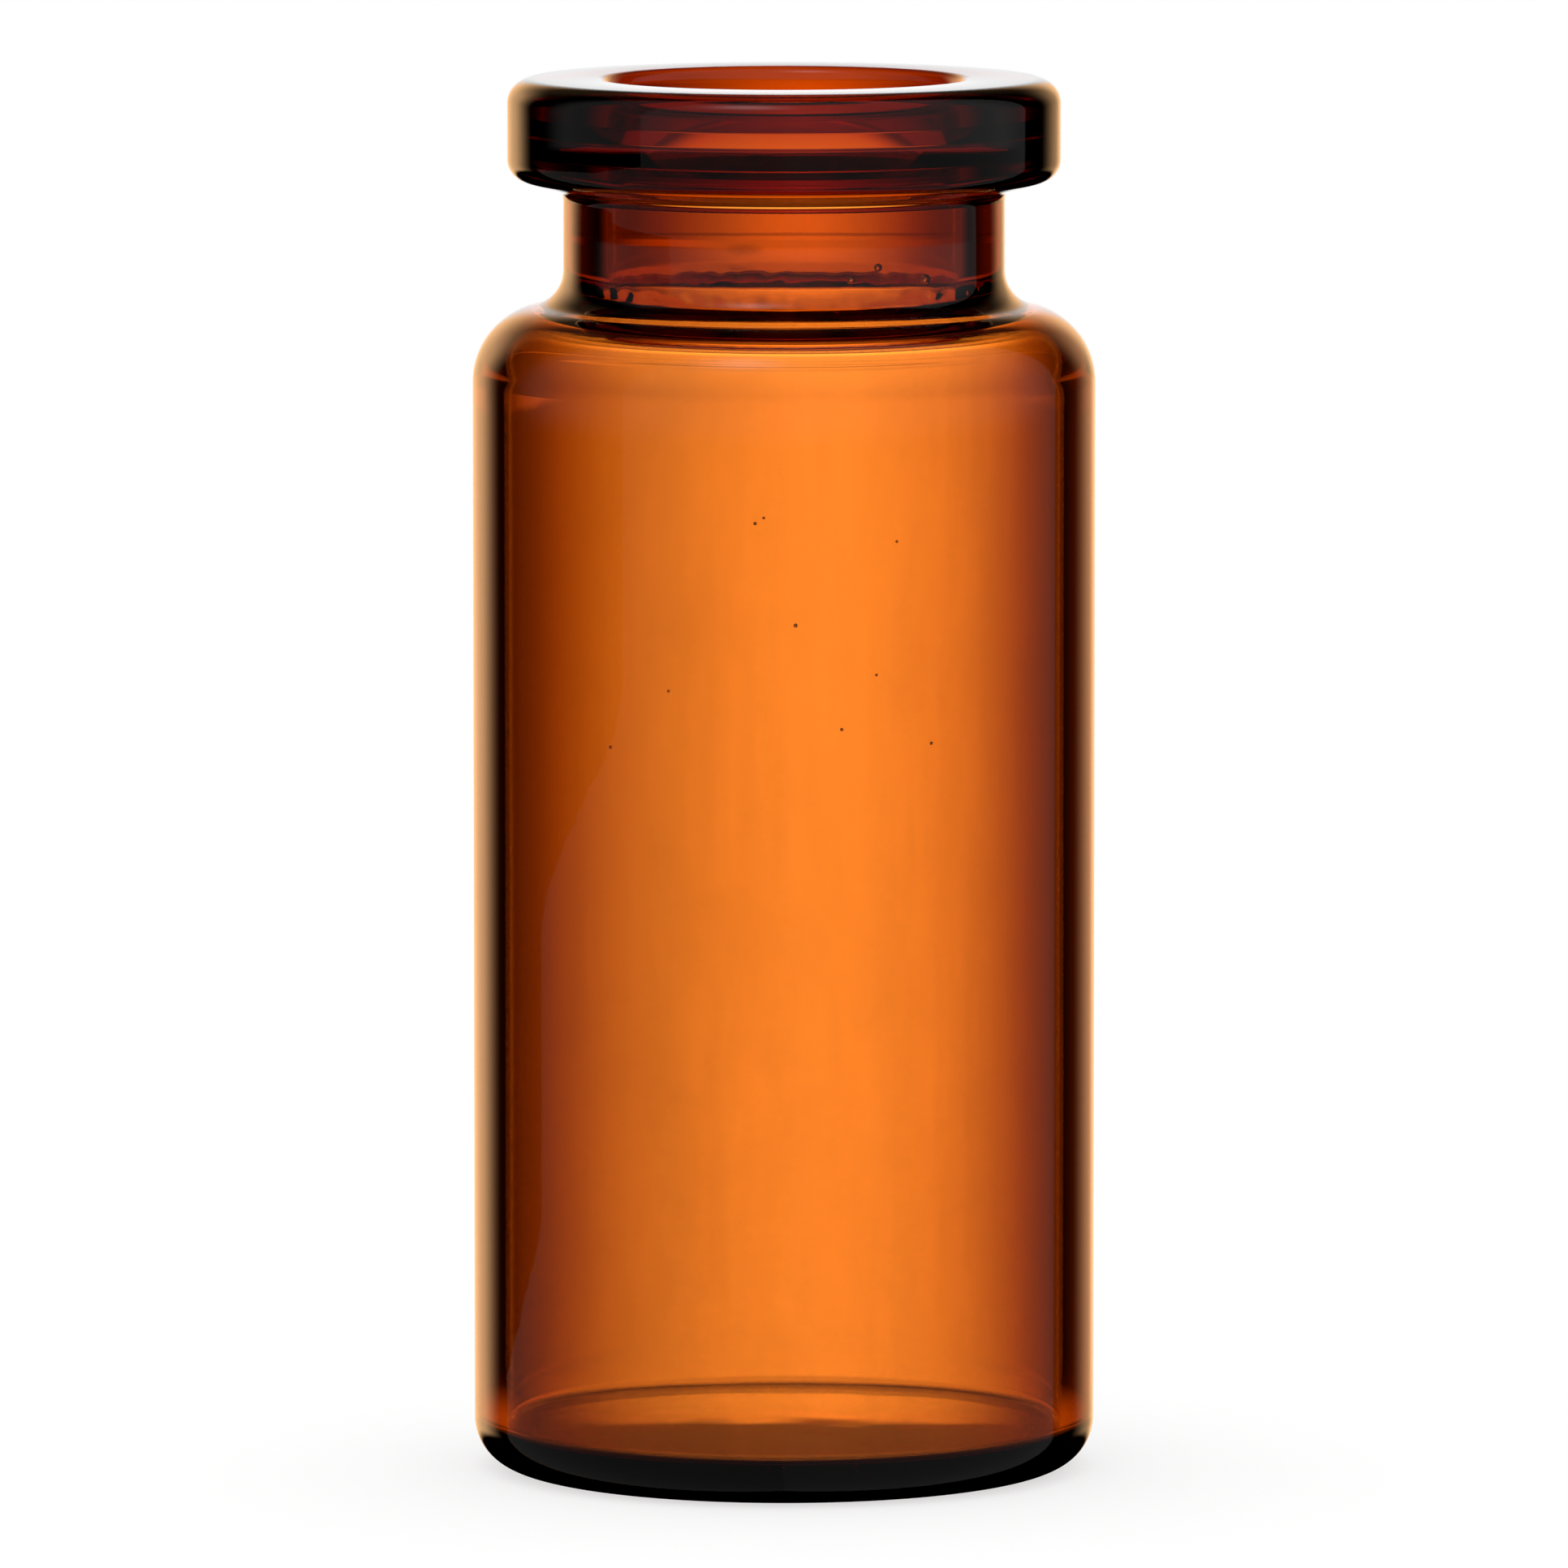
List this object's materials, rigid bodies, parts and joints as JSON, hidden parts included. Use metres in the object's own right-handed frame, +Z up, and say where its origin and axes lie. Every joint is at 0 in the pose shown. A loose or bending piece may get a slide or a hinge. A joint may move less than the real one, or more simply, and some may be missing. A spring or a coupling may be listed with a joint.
{
  "type": "glass sample vial",
  "caption": "Amber glass vial: straight cylindrical body, rounded shoulder, short neck and a thick flat-topped flange, grooved inside, that takes a plug stopper and a crimped cap.",
  "frame": {"origin": "centre of the foot ring, on the surface that the vial stands on", "axes": "+Z up the vial's axis, from the foot to the mouth; X and Y are any two square directions, because the vial is a body of revolution"},
  "size_m": [0.0222, 0.0222, 0.05],
  "materials": {
    "amber_glass": "clear amber glass, fire polished"
  },
  "bodies": {
    "root": {"vial": "amber_glass"}
  },
  "joints": []
}
